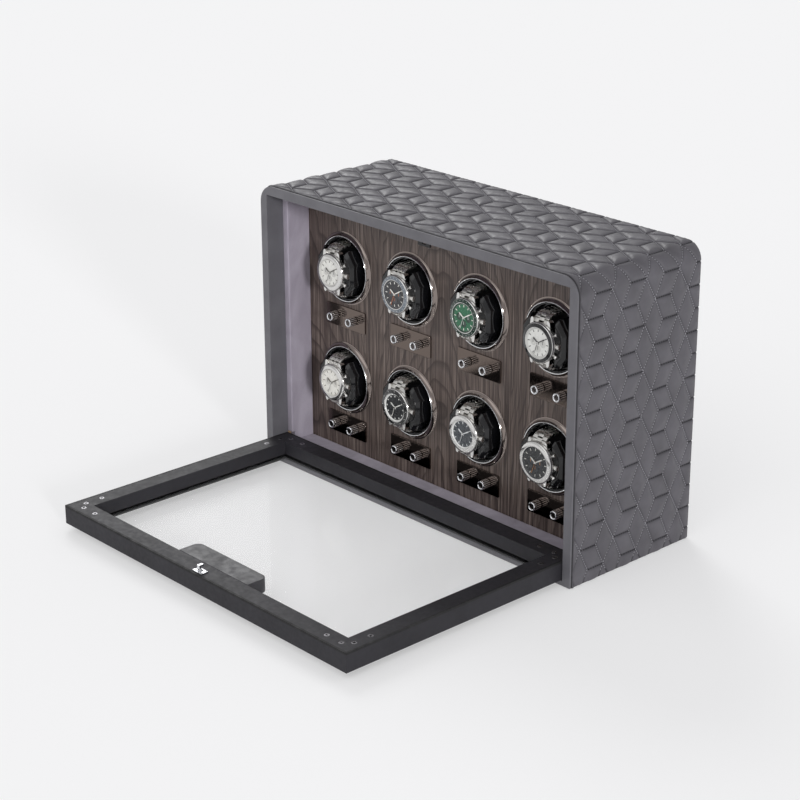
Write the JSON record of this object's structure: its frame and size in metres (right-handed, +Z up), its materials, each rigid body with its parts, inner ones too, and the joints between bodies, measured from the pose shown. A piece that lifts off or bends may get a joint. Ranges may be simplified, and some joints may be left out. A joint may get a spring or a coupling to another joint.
{
  "type": "watch winder box",
  "caption": "Quilted leather watch winder box: veneered panel of motor-driven watch cups with selector knobs behind a bottom-hinged, drop-down glazed door.",
  "frame": {"origin": "centre of the case's footprint, on the surface it stands on", "axes": "+Z up, -Y out of the glazed front, +X to the right of someone facing the front"},
  "size_m": [0.48, 0.4715, 0.327],
  "materials": {
    "base_felt": "dark felt",
    "case_board": "bare fibreboard",
    "quilted_leather": "grey quilted imitation leather",
    "plain_leather": "plain grey imitation leather",
    "back_leather": "plain grey imitation leather",
    "suede": "lavender grey suede",
    "wood_veneer": "dark grey-brown veneer, satin",
    "chrome": "polished",
    "mirror_plate": "smoked mirror, polished",
    "black_plastic": "gloss black",
    "gloss_black": "gloss black",
    "switch_plastic": "matte black",
    "motor_steel": "plain steel",
    "circuit_board": "green board",
    "black_screws": "black oxide",
    "latch_steel": "black oxide",
    "bush_brass": "plain",
    "door_black": "black anodised, satin",
    "glass": "clear tempered",
    "seal_rubber": "black",
    "lock_plastic": "satin dark grey",
    "key_aluminium": "plain",
    "screw_steel": "dark steel"
  },
  "bodies": {
    "case": {"base_felt": "base_felt", "base_board": "case_board", "side_boards": "case_board", "top_board": "case_board", "quilted_cover": "quilted_leather", "front_trim": "plain_leather", "liner_panels": "suede", "winder_panel": "wood_veneer", "bezel_rings": "chrome", "cup_housings": "black_plastic", "knob_plates": "mirror_plate", "selector_switches": "switch_plastic", "gear_motors": "motor_steel", "control_board": "circuit_board", "power_inlet": "switch_plastic", "back_cover": "back_leather", "back_screws": "black_screws", "latch_keeper": "latch_steel", "hinge_bushes": "bush_brass"},
    "door": {"door_rails": "door_black", "door_stiles": "door_black", "door_glass": "glass", "door_seals": "seal_rubber", "lock_housing": "lock_plastic", "latch_plate": "chrome", "corner_keys": "key_aluminium", "corner_screws": "screw_steel"},
    "latch_hook": {"latch_hook": "chrome"},
    "rotor_1": {"rotor_cup_1": "gloss_black"},
    "holder_1": {"watch_holder_1": "gloss_black"},
    "direction_knob_1": {"direction_knob_1": "chrome"},
    "turns_knob_1": {"turns_knob_1": "chrome"},
    "rotor_2": {"rotor_cup_2": "gloss_black"},
    "holder_2": {"watch_holder_2": "gloss_black"},
    "direction_knob_2": {"direction_knob_2": "chrome"},
    "turns_knob_2": {"turns_knob_2": "chrome"},
    "rotor_3": {"rotor_cup_3": "gloss_black"},
    "holder_3": {"watch_holder_3": "gloss_black"},
    "direction_knob_3": {"direction_knob_3": "chrome"},
    "turns_knob_3": {"turns_knob_3": "chrome"},
    "rotor_4": {"rotor_cup_4": "gloss_black"},
    "holder_4": {"watch_holder_4": "gloss_black"},
    "direction_knob_4": {"direction_knob_4": "chrome"},
    "turns_knob_4": {"turns_knob_4": "chrome"},
    "rotor_5": {"rotor_cup_5": "gloss_black"},
    "holder_5": {"watch_holder_5": "gloss_black"},
    "direction_knob_5": {"direction_knob_5": "chrome"},
    "turns_knob_5": {"turns_knob_5": "chrome"},
    "rotor_6": {"rotor_cup_6": "gloss_black"},
    "holder_6": {"watch_holder_6": "gloss_black"},
    "direction_knob_6": {"direction_knob_6": "chrome"},
    "turns_knob_6": {"turns_knob_6": "chrome"},
    "rotor_7": {"rotor_cup_7": "gloss_black"},
    "holder_7": {"watch_holder_7": "gloss_black"},
    "direction_knob_7": {"direction_knob_7": "chrome"},
    "turns_knob_7": {"turns_knob_7": "chrome"},
    "rotor_8": {"rotor_cup_8": "gloss_black"},
    "holder_8": {"watch_holder_8": "gloss_black"},
    "direction_knob_8": {"direction_knob_8": "chrome"},
    "turns_knob_8": {"turns_knob_8": "chrome"}
  },
  "joints": [
    {"name": "door_hinge", "type": "hinge", "parent": "case", "child": "door", "pos_m": [0, -0.0815, 0.0175], "axis": [-1, 0, 0], "range_deg": [0, 90]},
    {"name": "latch_slide", "type": "slide", "parent": "door", "child": "latch_hook", "axis": [0, 1, 0], "range_m": [0, 0.0022]},
    {"name": "rotor_1_spin", "type": "hinge", "parent": "case", "child": "rotor_1", "pos_m": [-0.15975, -0.037, 0.2355], "axis": [0, -1, 0], "continuous": true},
    {"name": "holder_1_slide", "type": "slide", "parent": "rotor_1", "child": "holder_1", "axis": [0, 1, 0], "range_m": [-0.075, 0]},
    {"name": "direction_knob_1_turn", "type": "hinge", "parent": "case", "child": "direction_knob_1", "pos_m": [-0.17525, -0.0385, 0.1775], "axis": [0, -1, 0], "range_deg": [-45, 45]},
    {"name": "turns_knob_1_turn", "type": "hinge", "parent": "case", "child": "turns_knob_1", "pos_m": [-0.14425, -0.0385, 0.1775], "axis": [0, -1, 0], "range_deg": [-90, 90]},
    {"name": "rotor_2_spin", "type": "hinge", "parent": "case", "child": "rotor_2", "pos_m": [-0.05325, -0.037, 0.2355], "axis": [0, -1, 0], "continuous": true},
    {"name": "holder_2_slide", "type": "slide", "parent": "rotor_2", "child": "holder_2", "axis": [0, 1, 0], "range_m": [-0.075, 0]},
    {"name": "direction_knob_2_turn", "type": "hinge", "parent": "case", "child": "direction_knob_2", "pos_m": [-0.06875, -0.0385, 0.1775], "axis": [0, -1, 0], "range_deg": [-45, 45]},
    {"name": "turns_knob_2_turn", "type": "hinge", "parent": "case", "child": "turns_knob_2", "pos_m": [-0.03775, -0.0385, 0.1775], "axis": [0, -1, 0], "range_deg": [-90, 90]},
    {"name": "rotor_3_spin", "type": "hinge", "parent": "case", "child": "rotor_3", "pos_m": [0.05325, -0.037, 0.2355], "axis": [0, -1, 0], "continuous": true},
    {"name": "holder_3_slide", "type": "slide", "parent": "rotor_3", "child": "holder_3", "axis": [0, 1, 0], "range_m": [-0.075, 0]},
    {"name": "direction_knob_3_turn", "type": "hinge", "parent": "case", "child": "direction_knob_3", "pos_m": [0.03775, -0.0385, 0.1775], "axis": [0, -1, 0], "range_deg": [-45, 45]},
    {"name": "turns_knob_3_turn", "type": "hinge", "parent": "case", "child": "turns_knob_3", "pos_m": [0.06875, -0.0385, 0.1775], "axis": [0, -1, 0], "range_deg": [-90, 90]},
    {"name": "rotor_4_spin", "type": "hinge", "parent": "case", "child": "rotor_4", "pos_m": [0.15975, -0.037, 0.2355], "axis": [0, -1, 0], "continuous": true},
    {"name": "holder_4_slide", "type": "slide", "parent": "rotor_4", "child": "holder_4", "axis": [0, 1, 0], "range_m": [-0.075, 0]},
    {"name": "direction_knob_4_turn", "type": "hinge", "parent": "case", "child": "direction_knob_4", "pos_m": [0.14425, -0.0385, 0.1775], "axis": [0, -1, 0], "range_deg": [-45, 45]},
    {"name": "turns_knob_4_turn", "type": "hinge", "parent": "case", "child": "turns_knob_4", "pos_m": [0.17525, -0.0385, 0.1775], "axis": [0, -1, 0], "range_deg": [-90, 90]},
    {"name": "rotor_5_spin", "type": "hinge", "parent": "case", "child": "rotor_5", "pos_m": [-0.15975, -0.037, 0.1055], "axis": [0, -1, 0], "continuous": true},
    {"name": "holder_5_slide", "type": "slide", "parent": "rotor_5", "child": "holder_5", "axis": [0, 1, 0], "range_m": [-0.075, 0]},
    {"name": "direction_knob_5_turn", "type": "hinge", "parent": "case", "child": "direction_knob_5", "pos_m": [-0.17525, -0.0385, 0.0475], "axis": [0, -1, 0], "range_deg": [-45, 45]},
    {"name": "turns_knob_5_turn", "type": "hinge", "parent": "case", "child": "turns_knob_5", "pos_m": [-0.14425, -0.0385, 0.0475], "axis": [0, -1, 0], "range_deg": [-90, 90]},
    {"name": "rotor_6_spin", "type": "hinge", "parent": "case", "child": "rotor_6", "pos_m": [-0.05325, -0.037, 0.1055], "axis": [0, -1, 0], "continuous": true},
    {"name": "holder_6_slide", "type": "slide", "parent": "rotor_6", "child": "holder_6", "axis": [0, 1, 0], "range_m": [-0.075, 0]},
    {"name": "direction_knob_6_turn", "type": "hinge", "parent": "case", "child": "direction_knob_6", "pos_m": [-0.06875, -0.0385, 0.0475], "axis": [0, -1, 0], "range_deg": [-45, 45]},
    {"name": "turns_knob_6_turn", "type": "hinge", "parent": "case", "child": "turns_knob_6", "pos_m": [-0.03775, -0.0385, 0.0475], "axis": [0, -1, 0], "range_deg": [-90, 90]},
    {"name": "rotor_7_spin", "type": "hinge", "parent": "case", "child": "rotor_7", "pos_m": [0.05325, -0.037, 0.1055], "axis": [0, -1, 0], "continuous": true},
    {"name": "holder_7_slide", "type": "slide", "parent": "rotor_7", "child": "holder_7", "axis": [0, 1, 0], "range_m": [-0.075, 0]},
    {"name": "direction_knob_7_turn", "type": "hinge", "parent": "case", "child": "direction_knob_7", "pos_m": [0.03775, -0.0385, 0.0475], "axis": [0, -1, 0], "range_deg": [-45, 45]},
    {"name": "turns_knob_7_turn", "type": "hinge", "parent": "case", "child": "turns_knob_7", "pos_m": [0.06875, -0.0385, 0.0475], "axis": [0, -1, 0], "range_deg": [-90, 90]},
    {"name": "rotor_8_spin", "type": "hinge", "parent": "case", "child": "rotor_8", "pos_m": [0.15975, -0.037, 0.1055], "axis": [0, -1, 0], "continuous": true},
    {"name": "holder_8_slide", "type": "slide", "parent": "rotor_8", "child": "holder_8", "axis": [0, 1, 0], "range_m": [-0.075, 0]},
    {"name": "direction_knob_8_turn", "type": "hinge", "parent": "case", "child": "direction_knob_8", "pos_m": [0.14425, -0.0385, 0.0475], "axis": [0, -1, 0], "range_deg": [-45, 45]},
    {"name": "turns_knob_8_turn", "type": "hinge", "parent": "case", "child": "turns_knob_8", "pos_m": [0.17525, -0.0385, 0.0475], "axis": [0, -1, 0], "range_deg": [-90, 90]}
  ]
}
